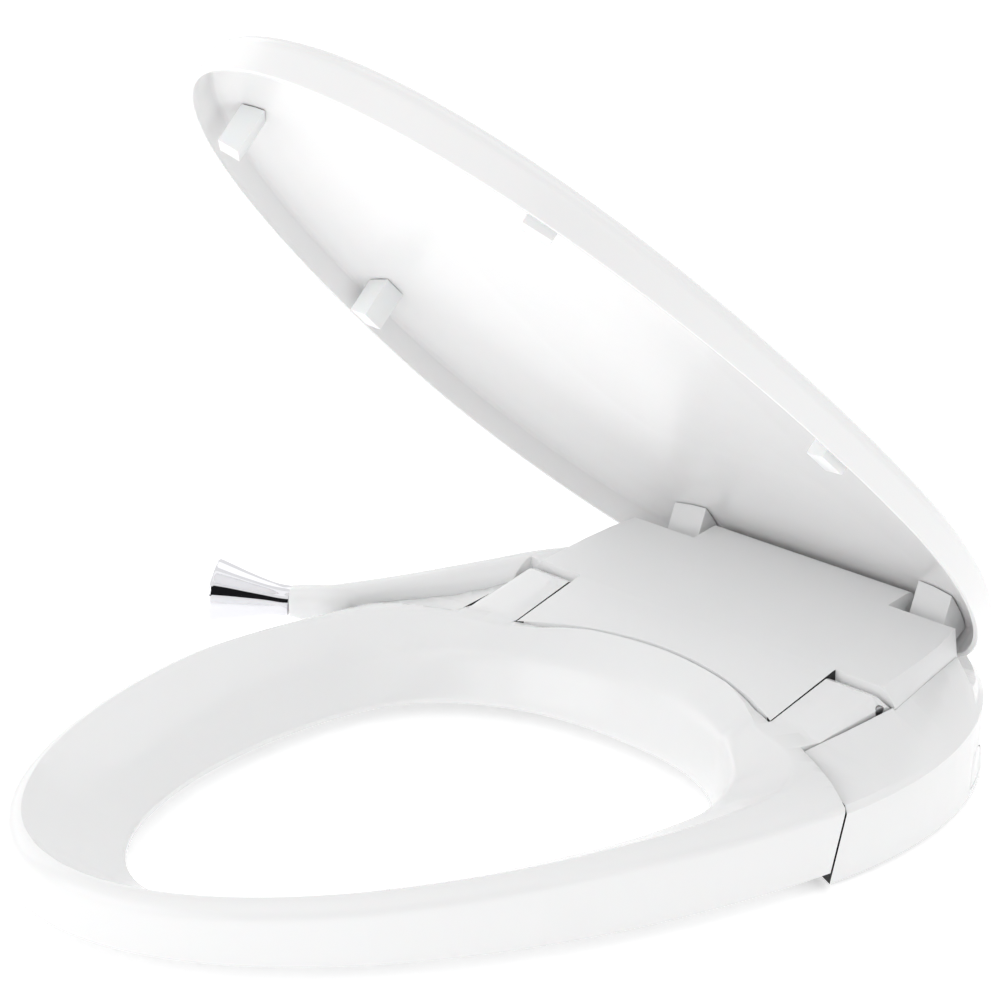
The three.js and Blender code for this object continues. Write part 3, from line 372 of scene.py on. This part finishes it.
def rolledSkin(name, rows, closedLoop=False):
    # a flat grid rolled round: every row closes on itself, and the rows may close too
    if closedLoop:
        rows = rows + [rows[0]]
    around, along = len(rows[0]), len(rows) - 1
    bpy.ops.object.select_all(action="DESELECT")
    bpy.ops.mesh.primitive_grid_add(x_subdivisions=around, y_subdivisions=along, size=1)
    piece = bpy.context.object
    piece.name = piece.data.name = name
    places = np.array([list(row) + [row[0]] for row in rows], dtype=np.float64) / 1000
    piece.data.vertices.foreach_set("co", places.astype(np.float32).ravel())
    piece.data.update()
    editPiece(
        piece,
        (bpy.ops.mesh.remove_doubles, {"threshold": 2e-6}),
        (bpy.ops.mesh.dissolve_degenerate, {"threshold": 1e-6}),
        (bpy.ops.mesh.normals_make_consistent, {"inside": False}),
    )
    if signedVolume(piece) < 0:
        editPiece(piece, (bpy.ops.mesh.flip_normals, {}))
    return piece


def signedVolume(piece):
    mesh = bmesh.new()
    mesh.from_mesh(piece.data)
    volume = mesh.calc_volume(signed=True)
    mesh.free()
    return volume


def prism(name, outline, low, high, lean=0.0):
    # an upright block on a plan outline; its top may lean back by lean per unit of height
    bpy.ops.object.select_all(action="DESELECT")
    bpy.ops.mesh.primitive_circle_add(vertices=len(outline), radius=1, fill_type="NGON")
    piece = bpy.context.object
    piece.name = piece.data.name = name
    places = [(x / 1000, (y + lean * (low - high)) / 1000, low / 1000) for x, y in outline]
    piece.data.vertices.foreach_set("co", np.array(places, np.float32).ravel())
    lift = {"value": (0, lean * (high - low) / 1000, (high - low) / 1000)}
    editPiece(
        piece,
        (bpy.ops.mesh.extrude_region_move, {"TRANSFORM_OT_translate": lift}),
        (bpy.ops.mesh.select_all, {"action": "SELECT"}),
        (bpy.ops.mesh.normals_make_consistent, {"inside": False}),
    )
    return piece


def combine(piece, tool, operation):
    pickOnly(piece)
    cut = piece.modifiers.new("cut", "BOOLEAN")
    cut.operation = operation
    cut.solver = "MANIFOLD"
    cut.object = tool
    bpy.ops.object.modifier_apply(modifier=cut.name)
    bpy.data.objects.remove(tool)


def mirrored(outline):
    return [(-x, y) for x, y in reversed(outline)]


# the seat: ring, dish, shoulders and ears in one skin
seatLook = {
    "outer": {"halfWidth": 185, "middleY": -157, "front": 308, "rear": 215,
              "frontPower": 2.04, "rearPower": 2},
    "hole": {"halfWidth": 119, "middleY": -213.5, "front": 200, "rear": 88,
             "frontPower": 1.8, "rearPower": 2.35},
    "steps": 288, "dishSteps": 18, "edgeSteps": 12,
    "bottom": 7.0, "lipHeight": 2.5, "lipRound": 0.8,
    "crest": 43.5, "tipCrest": 33.5, "levelFromY": -265,
    "shoulder": 3.3, "shoulderZ": 36.5, "shoulderFrom": 0.6, "shoulderCurve": 1.5,
    "softDrop": 10.0, "softFrontY": (-340, -200),
    "rearShare": 0.155, "sideShare": 0.85, "shareAngles": (-25, 50),
    "creaseAt": 0.3, "creaseSoft": 0.07,
    "creaseShares": [(-90, 0.3), (-58, 0.32), (-42, 0.5), (-20, 0.53), (0, 0.56),
                     (20, 0.66), (40, 0.7), (90, 0.6)],
    "plateInset": 3.4, "plateHole": 9.2, "plateDepth": 2.7,
    "tongueY": -73, "tongueZ": 58.4, "tongueSlope": 0.36,
    "hingeY": -79, "hingeZ": 49.8, "pinHole": 2.9, "pinX": 111, "pinDepth": 50,
    "seam": 1.4, "edgeRound": 0.5, "leanFrom": 158, "cutHeights": (-10, 120),
    "outlineReach": 280, "outlineFront": -520,
}

# the two blocks that carry the seat's hinge
earLook = {
    "floor": 38, "footZ": 41.4, "footSlope": 0.155, "innerX": 90, "footRearX": 135.5,
    "topFrontX": 128.5, "topRearX": 122.5, "topFromY": -116, "topOver": 90,
    "radius": 6.4, "least": 0.2, "frontY": -118, "flankCurve": 1.3, "skirt": 2, "skirtDrop": 0.6,
    "stations": [-126, -123, -120, -116, -110, -104, -98, -92, -86, -80, -79.02, -78.98],
    "topShares": (0.5, 0.9, 0.97), "flankShares": (0.1, 0.25, 0.5, 0.75, 1), "edgeDrop": 0.3, "behind": 8,
}


def dishCurve(share, crease):
    # rise from the lip to the crest: steep to the crease, then gentle, with a soft turn between
    at = seatLook["creaseAt"]
    steep = crease * share / at
    gentle = crease + (1 - crease) * (share - at) / (1 - at)
    atLip = crease - (1 - crease) * at / (1 - at)
    soft = seatLook["creaseSoft"]
    low = (atLip - math.sqrt(atLip ** 2 + soft ** 2)) / 2
    value = (steep + gentle - math.sqrt((steep - gentle) ** 2 + soft ** 2)) / 2
    return value - low * (1 - share)


def tongueTop(y):
    return seatLook["tongueZ"] + seatLook["tongueSlope"] * (y - seatLook["tongueY"])


def ringRow(angle):
    look = seatLook
    outer = onOval(look["outer"], angle)
    lip = onOval(look["hole"], angle)
    turn = math.degrees(math.asin(math.sin(angle)))
    side = 1 - smoothShare(turn, *look["shareAngles"])
    crest = lip + (outer - lip) * between(look["rearShare"], look["sideShare"], side)
    reach = look["levelFromY"] - (look["outer"]["middleY"] - look["outer"]["front"])
    forward = min(1, max(0, (look["levelFromY"] - crest[1]) / reach))
    crestZ = between(look["crest"], look["tipCrest"], forward)
    crestZ = max(crestZ, tongueTop(min(crest[1], seamLook["arcTop"])))
    edge = smoothShare(outer[1], *look["softFrontY"])
    wallZ = between(crestZ - look["softDrop"], look["shoulderZ"] - look["shoulder"], edge)
    crease = throughPoints(look["creaseShares"], turn)
    low = look["bottom"] + look["lipHeight"]
    points = [(lip, look["bottom"]), (lip, low - look["lipRound"])]
    for i in range(look["dishSteps"]):
        share = i / look["dishSteps"]
        points.append((lip + (crest - lip) * share, between(low, crestZ, dishCurve(share, crease))))
    narrow = look["shoulder"] / np.linalg.norm(outer - crest)
    turnFrom = look["shoulderFrom"]
    for i in range(look["edgeSteps"] + 1):
        t = i / look["edgeSteps"]
        roundOut = math.sin(t * math.pi / 2)
        roundZ = between(wallZ, crestZ, math.cos(t * math.pi / 2))
        slope = min(1, t / turnFrom)
        slopeOut = slope * (1 - narrow)
        slopeZ = crestZ - (crestZ - look["shoulderZ"]) * slope ** look["shoulderCurve"]
        if t > turnFrom:
            arc = (t - turnFrom) / (1 - turnFrom) * math.pi / 2
            slopeOut = 1 - narrow * (1 - math.sin(arc))
            slopeZ = look["shoulderZ"] - look["shoulder"] * (1 - math.cos(arc))
        across = between(roundOut, slopeOut, edge)
        points.append((crest + (outer - crest) * across, between(roundZ, slopeZ, edge)))
    inner = onOval(look["outer"], angle, look["plateInset"])
    innerLip = onOval(look["hole"], angle, -look["plateHole"])
    plateZ = look["bottom"] + look["plateDepth"]
    points += [(outer, look["bottom"]), (inner, look["bottom"]), (inner, plateZ)]
    points += [(innerLip, plateZ), (innerLip, look["bottom"])]
    return [(p[0], p[1], z) for p, z in points]


def earRow(y, sign):
    look, seam, hingeY, hingeZ = earLook, seamLook, seatLook["hingeY"], seatLook["hingeZ"]
    top = tongueTop(y)
    foot = look["footZ"] + look["footSlope"] * (y - seam["corner"])
    low = look["floor"]
    if y > hingeY:
        half = math.sqrt(max(look["least"] ** 2, look["radius"] ** 2 - (y - hingeY) ** 2))
        top, low = hingeZ + half, hingeZ - half
    along = min(1, max(0, (y - seam["corner"]) / (seam["rear"] - seam["corner"])))
    footX = between(seam["outerFront"], look["footRearX"], along)
    topAlong = min(1, max(0, (y - look["topFromY"]) / look["topOver"]))
    topX = between(look["topFrontX"], look["topRearX"], topAlong)
    foot = min(foot, top) if y < look["frontY"] else min(foot, top - look["edgeDrop"])
    points = [(look["innerX"], low), (look["innerX"], top)]
    points += [(between(look["innerX"], topX, t), top) for t in look["topShares"]]
    for t in look["flankShares"]:
        points.append((between(topX, footX, t), between(top, foot, t ** look["flankCurve"])))
    skirtX = footX + look["skirt"]
    points += [(skirtX, foot - look["skirtDrop"]), (skirtX, low)]
    return [(sign * x, y, z) for x, z in points]


def seatOutline():
    look, seam = seatLook, seamLook
    gap = -look["seam"] / 2
    half = math.asin((seam["inner"] - gap) / seam["arcRadius"])
    wingEnd = seam["wing"][-1][1] + gap
    rearY = seam["rear"] + earLook["behind"]
    right = [(look["outlineReach"], look["outlineFront"]), (look["outlineReach"], wingEnd)]
    right += [(x, y + gap) for x, y in reversed(seam["wing"])]
    right += [(seam["outerFront"] + gap, seam["corner"] + gap), (seam["outerRear"] + gap, rearY)]
    right += [(seam["inner"] - gap, rearY)]
    steps = 2 * seam["arcSteps"]
    reach = seam["arcRadius"] + gap
    middleY = seam["arcTop"] - seam["arcRadius"]
    arc = []
    for i in range(steps + 1):
        turn = half - 2 * half * i / steps
        arc.append((reach * math.sin(turn), middleY + reach * math.cos(turn)))
    return right + arc + mirrored(right)


def leanOutline():
    # what lies behind the leaning part of the seam
    look, wing = seatLook, seamLook["wing"]
    half = look["seam"] / 2
    outline = [(look["leanFrom"] - half, wing[0][1] - half)] + [(x, y - half) for x, y in wing[1:]]
    outline += [(look["outlineReach"], wing[-1][1] - half), (look["outlineReach"], 0)]
    return outline + [(look["leanFrom"] - half, 0)]


def capped(rows):
    # both ends drawn to a point at the middle of their row
    first, last = (tuple(np.mean(rows[k], axis=0)) for k in (0, -1))
    return [[first] * len(rows[0])] + rows + [[last] * len(rows[0])]


def buildSeat():
    look = seatLook
    steps = look["steps"]
    ring = [ringRow(2 * math.pi * i / steps) for i in range(steps)]
    seat = rolledSkin("seat_ring_skin", ring, True)
    turns = [math.radians(turn) for turn in range(9, 91, 9)]
    stations = earLook["stations"] + [look["hingeY"] + earLook["radius"] * math.sin(turn) for turn in turns]
    for sign in (1, -1):
        rows = capped([earRow(y, sign) for y in stations])
        combine(seat, rolledSkin("ear", rows), "UNION")
    combine(seat, prism("seatPlan", seatOutline(), *look["cutHeights"]), "INTERSECT")
    for outline in (leanOutline(), mirrored(leanOutline())):
        cut = prism("leanCut", outline, look["cutHeights"][0], seamLook["leanTop"], seamLook["lean"])
        combine(seat, cut, "DIFFERENCE")
    for side in (-1, 1):
        bpy.ops.object.select_all(action="DESELECT")
        bpy.ops.mesh.primitive_cylinder_add(
            vertices=32, radius=look["pinHole"] / 1000, depth=look["pinDepth"] / 1000,
            location=(side * look["pinX"] / 1000, look["hingeY"] / 1000, look["hingeZ"] / 1000),
            rotation=(0, math.pi / 2, 0))
        drill = bpy.context.object
        bpy.ops.object.transform_apply(location=True, rotation=True, scale=True)
        combine(seat, drill, "DIFFERENCE")
    softenEdges(seat, look["edgeRound"] / 1000, 40, 2)
    smoothShade(seat, 35)
    finishPiece(seat, "seat", "gloss_white", materials["gloss_white"], "seat_ring")


buildSeat()
print("seat made")


# the lid: one domed shell, open at its rim
lidLook = {
    "oval": {"halfWidth": 184, "middleY": -158, "front": 303, "rear": 208,
             "frontPower": 2.06, "rearPower": 2},
    "steps": 288, "wall": 2.8, "rim": -6.0, "hingeZ": 62.0, "open": 43.2,
    "backEdge": 13.0, "backCorner": 16.0, "cornerShare": 0.12, "backBlend": 8,
    "rise": [(0, 9), (1.4, 11.8), (5, 14.8), (12, 17.8), (20, 19.6), (32, 21.6),
             (50, 23.2), (78, 24.6), (110, 25.4)],
    "inside": [(0, 8.4), (0.6, 9.8), (2.2, 11), (9, 14.2), (17, 16.5), (29, 18.6),
               (47, 20.3), (75, 21.7), (107, 22.5)],
    "sideDrop": 2.2, "dropFrom": 9, "dropOver": 110,
    "rearTightness": 0.6, "rearFrom": (0.6, 0.85), "tightUpTo": 40, "tightOver": 28,
    "wallShares": (0.04, 0.3, 0.6, 0.85), "innerWallZ": (-5.5, -2, 2, 5, 7.4),
    "rimRound": 0.5, "rimSoft": 0.15, "crownShares": (0.4, 0.75, 1.0),
}


def denser(table, factor=5):
    # more rows on a smooth curve through a table's points
    table = np.array(table, float)
    padded = np.vstack([2 * table[0] - table[1], table, 2 * table[-1] - table[-2]])
    rows = []
    for p0, p1, p2, p3 in zip(padded, padded[1:], padded[2:], padded[3:]):
        for i in range(factor):
            t = i / factor
            linear, square, cube = p2 - p0, 2 * p0 - 5 * p1 + 4 * p2 - p3, 3 * p1 - p0 - 3 * p2 + p3
            rows.append(0.5 * (2 * p1 + linear * t + square * t ** 2 + cube * t ** 3))
    return [tuple(row) for row in rows] + [tuple(table[-1])]


def lidRow(inset, edge, z):
    # one level of the lid: inset from its wall, edge inwards over its crown, z above its rim plane
    look = lidLook
    turn = math.radians(look["open"])
    c, s = math.cos(turn), math.sin(turn)
    tight = min(1, max(0, (look["tightUpTo"] - edge) / look["tightOver"]))
    fade = min(1, max(0, z / look["dropFrom"])) * min(1, max(0, 1 - edge / look["dropOver"]))
    corner = look["cornerShare"] * look["backCorner"]
    row = []
    for i in range(look["steps"]):
        angle = 2 * math.pi * i / look["steps"]
        atRear = smoothShare(math.sin(angle), *look["rearFrom"]) * tight
        back = look["backEdge"] - inset - edge * between(1, look["rearTightness"], atRear)
        x, y = onOval(look["oval"], angle, inset + edge)
        over = y - back
        soft = max(0, look["backCorner"] - max(0, -over)) / look["backCorner"]
        if over > 0:
            y = back - corner * max(0, 1 - over / look["backBlend"])
        else:
            y -= corner * soft * soft
        height = z - look["sideDrop"] * math.cos(angle) ** 2 * fade
        row.append((x, y * c + height * s, look["hingeZ"] - y * s + height * c))
    return row


def buildLid():
    look = lidLook
    rim, wall, soft, turned = look["rim"], look["wall"], look["rimSoft"], look["rimRound"]
    outside = [lidRow(0, edge, z) for edge, z in denser(look["rise"])]
    inside = [lidRow(wall, edge, z) for edge, z in denser(look["inside"])]
    outerWalls = [lidRow(0, 0, between(rim, look["rise"][0][1], t)) for t in look["wallShares"]]
    rims = [lidRow(turned, 0, rim), lidRow(soft, 0, rim + soft), lidRow(0, 0, rim + turned)]
    innerRims = [lidRow(wall - turned, 0, rim), lidRow(wall - soft, 0, rim + soft)]
    innerWalls = [lidRow(wall, 0, z) for z in look["innerWallZ"]]
    crowns = []
    for row in (outside[-1], inside[-1]):
        middle = np.mean(row, axis=0)
        shares = look["crownShares"]
        crowns.append([[tuple(between(np.array(p), middle, t)) for p in row] for t in shares])
    rows = crowns[0][::-1] + outside[::-1] + outerWalls[::-1] + rims[::-1]
    rows += innerRims + innerWalls + inside + crowns[1]
    lidShell = rolledSkin("lid_shell_skin", rows)
    smoothShade(lidShell, 50)
    finishPiece(lidShell, "lid", "gloss_white", materials["gloss_white"], "lid_shell")


buildLid()
print("lid made")


# the control arm and its knob
controlLook = {
    "knobAt": (-215, -172.4, 35.5), "knobWay": (-0.75, -0.65, 0.1),
    "neck": [(1.7, 43.9, 27.3, 8.4), (12, 44.8, 25.6, 8.6), (23, 45.2, 24, 9)],
    "root": [(-194, -144, 44.8, 22.5, 9), (-184, -125, 46.4, 20, 9.5),
             (-168, -104, 50.7, 18, 11), (-152, -84, 55.2, 18, 13),
             (-138, -68, 59.4, 18, 15), (-122, -52, 62.7, 18, 17)],
    "sides": 64, "squareness": 2.3, "earRoom": (135, -148, -71), "roomHeight": 100, "edgeRound": 0.5,
    "knobBack": [(0, -1.2), (7.7, -1.2), (8.25, -0.9)],
    "knobFlare": [(8.4, 0), (9, 8.8), (12.2, 22), (15.8, 34), (17.2, 38.8)],
    "knobCap": [(17.2, 39.4), (16.9, 40.1), (16.2, 40.6), (14, 41.1), (10, 41.8), (5, 42.2), (0, 42.4)],
    "knobSides": 96,
}


def buildArm():
    look = controlLook
    at = np.array(look["knobAt"])
    way = np.array(look["knobWay"]) / np.linalg.norm(look["knobWay"])
    stations = []
    for behind, top, bottom, half in look["neck"]:
        x, y, _ = at - way * behind
        stations.append((x, y, top, bottom, half))
    stations = np.array(denser(stations + look["root"], 6))
    power = 2 / look["squareness"]
    rows = []
    for i, (x, y, top, bottom, half) in enumerate(stations):
        ahead = stations[min(len(stations) - 1, i + 1)][:2] - stations[max(0, i - 1)][:2]
        ahead /= np.linalg.norm(ahead)
        row = []
        for k in range(look["sides"]):
            turn = 2 * math.pi * k / look["sides"]
            c, s = math.cos(turn), math.sin(turn)
            across = half * math.copysign(abs(c) ** power, c)
            rise = (top - bottom) / 2 * math.copysign(abs(s) ** power, s)
            row.append((x + ahead[1] * across, y - ahead[0] * across, (top + bottom) / 2 + rise))
        rows.append(row)
    arm = rolledSkin("control_arm_skin", capped(rows))
    side, front, rear = look["earRoom"]
    room = [(-side, front), (side, front), (side, rear), (-side, rear)]
    combine(arm, prism("earRoom", room, 0, look["roomHeight"]), "DIFFERENCE")
    softenEdges(arm, look["edgeRound"] / 1000, 45, 2)
    smoothShade(arm, 40)
    finishPiece(arm, "base", "gloss_white", materials["gloss_white"], "control_arm")


def buildKnob():
    look = controlLook
    at = Vector(look["knobAt"])
    turn = Vector(look["knobWay"]).normalized().to_track_quat("Z", "Y")
    profile = look["knobBack"] + denser(look["knobFlare"], 6) + look["knobCap"]
    rows = []
    for radius, along in profile:
        row = []
        for k in range(look["knobSides"]):
            angle = 2 * math.pi * k / look["knobSides"]
            spoke = Vector((radius * math.cos(angle), radius * math.sin(angle), along))
            row.append(tuple(turn @ spoke + at))
        rows.append(row)
    knob = rolledSkin("control_knob_skin", rows)
    smoothShade(knob, 35)
    finishPiece(knob, "knob", "chrome", materials["chrome"], "control_knob")


buildArm()
buildKnob()
print("arm and knob made")


# the white floor and surround, and the lamps: name, place, aim, size and power
stageLook = {
    "floorSize": 12, "floorZ": -0.0005, "floorColour": (0.93, 0.93, 0.93), "floorPatch": 0.985,
    "floorRoughness": 0.6, "floorGlow": 0.30, "world": 0.88,
    "darkTowards": (0.74, -0.673, 0.0), "darkLow": -0.01, "darkHigh": 0.52, "darkSpread": 0.55,
    "lowSoft": 0.02, "highSoft": 0.04, "spreadSoft": 0.2, "dark": (0.012, 0.012, 0.0132),
    "lamps": [
        ("keyLight", (0.6, -0.6, 2.6), (0, -0.2, 0.1), (2.4, 2.0), 3),
        ("lowLight", (-0.3, -2.3, 0.6), (0, 0.0, 0.15), (2.6, 0.8), 6),
        ("backLight", (-0.6, 1.5, 2.0), (0, -0.2, 0.1), (2.0, 1.4), 3),
        ("sideLight", (-1.6, -0.2, 0.8), (0, -0.1, 0.05), (1.6, 1.0), 3),
    ],
}


def makeFloor():
    look = stageLook
    bpy.ops.object.select_all(action="DESELECT")
    bpy.ops.mesh.primitive_plane_add(size=look["floorSize"], location=(0, 0, look["floorZ"]))
    floor = bpy.context.object
    floor.name = "floor"
    nodes = Nodes("floorFinish")
    patch = tuple(look["floorPatch"] * c for c in look["floorColour"])
    nodes.tint(nodes.noise(3, 2.0), patch, look["floorColour"])
    nodes.shader.inputs["Roughness"].default_value = look["floorRoughness"]
    nodes.shader.inputs["Emission Color"].default_value = (1, 1, 1, 1)
    nodes.shader.inputs["Emission Strength"].default_value = look["floorGlow"]
    floor.data.materials.append(nodes.material)


def makeWorld():
    # white all round, with a dark opening beyond the lights that only polished things show
    look = stageLook
    world = bpy.data.worlds.new("studio")
    bpy.context.scene.world = world
    world.use_nodes = True
    tree = world.node_tree
    shade = tree.nodes["Background"]
    shade.inputs["Strength"].default_value = look["world"]
    coords = tree.nodes.new("ShaderNodeTexCoord").outputs["Generated"]
    split = tree.nodes.new("ShaderNodeSeparateXYZ")
    tree.links.new(coords, split.inputs[0])
    towards = tree.nodes.new("ShaderNodeVectorMath")
    towards.operation = "DOT_PRODUCT"
    tree.links.new(coords, towards.inputs[0])
    towards.inputs[1].default_value = look["darkTowards"]
    rays = tree.nodes.new("ShaderNodeLightPath").outputs["Is Glossy Ray"]

    def step(value, low, high):
        spread = tree.nodes.new("ShaderNodeMapRange")
        spread.interpolation_type = "SMOOTHSTEP"
        spread.inputs["From Min"].default_value = low
        spread.inputs["From Max"].default_value = high
        tree.links.new(value, spread.inputs["Value"])
        return spread.outputs["Result"]

    def times(a, b):
        product = tree.nodes.new("ShaderNodeMath")
        product.operation = "MULTIPLY"
        tree.links.new(a, product.inputs[0])
        tree.links.new(b, product.inputs[1])
        return product.outputs[0]

    above = step(split.outputs["Z"], look["darkLow"], look["darkLow"] + look["lowSoft"])
    below = step(split.outputs["Z"], look["darkHigh"] + look["highSoft"], look["darkHigh"])
    facing = step(towards.outputs["Value"], look["darkSpread"], look["darkSpread"] + look["spreadSoft"])
    zone = times(times(above, below), times(facing, rays))
    mix = tree.nodes.new("ShaderNodeMix")
    mix.data_type = "RGBA"
    mix.inputs[6].default_value = (1, 1, 1, 1)
    mix.inputs[7].default_value = (*look["dark"], 1)
    tree.links.new(zone, mix.inputs[0])
    tree.links.new(mix.outputs[2], shade.inputs["Color"])


def softbox(name, place, aim, size, power):
    data = bpy.data.lights.new(name, "AREA")
    data.shape = "RECTANGLE"
    data.size, data.size_y = size
    data.energy = power
    lamp = bpy.data.objects.new(name, data)
    bpy.context.scene.collection.objects.link(lamp)
    lamp.location = place
    lamp.rotation_euler = (Vector(aim) - Vector(place)).to_track_quat("-Z", "Y").to_euler()


makeFloor()
makeWorld()
for lamp in stageLook["lamps"]:
    softbox(*lamp)
bpy.context.scene.view_settings.view_transform = "Standard"
print("stage and lights made")
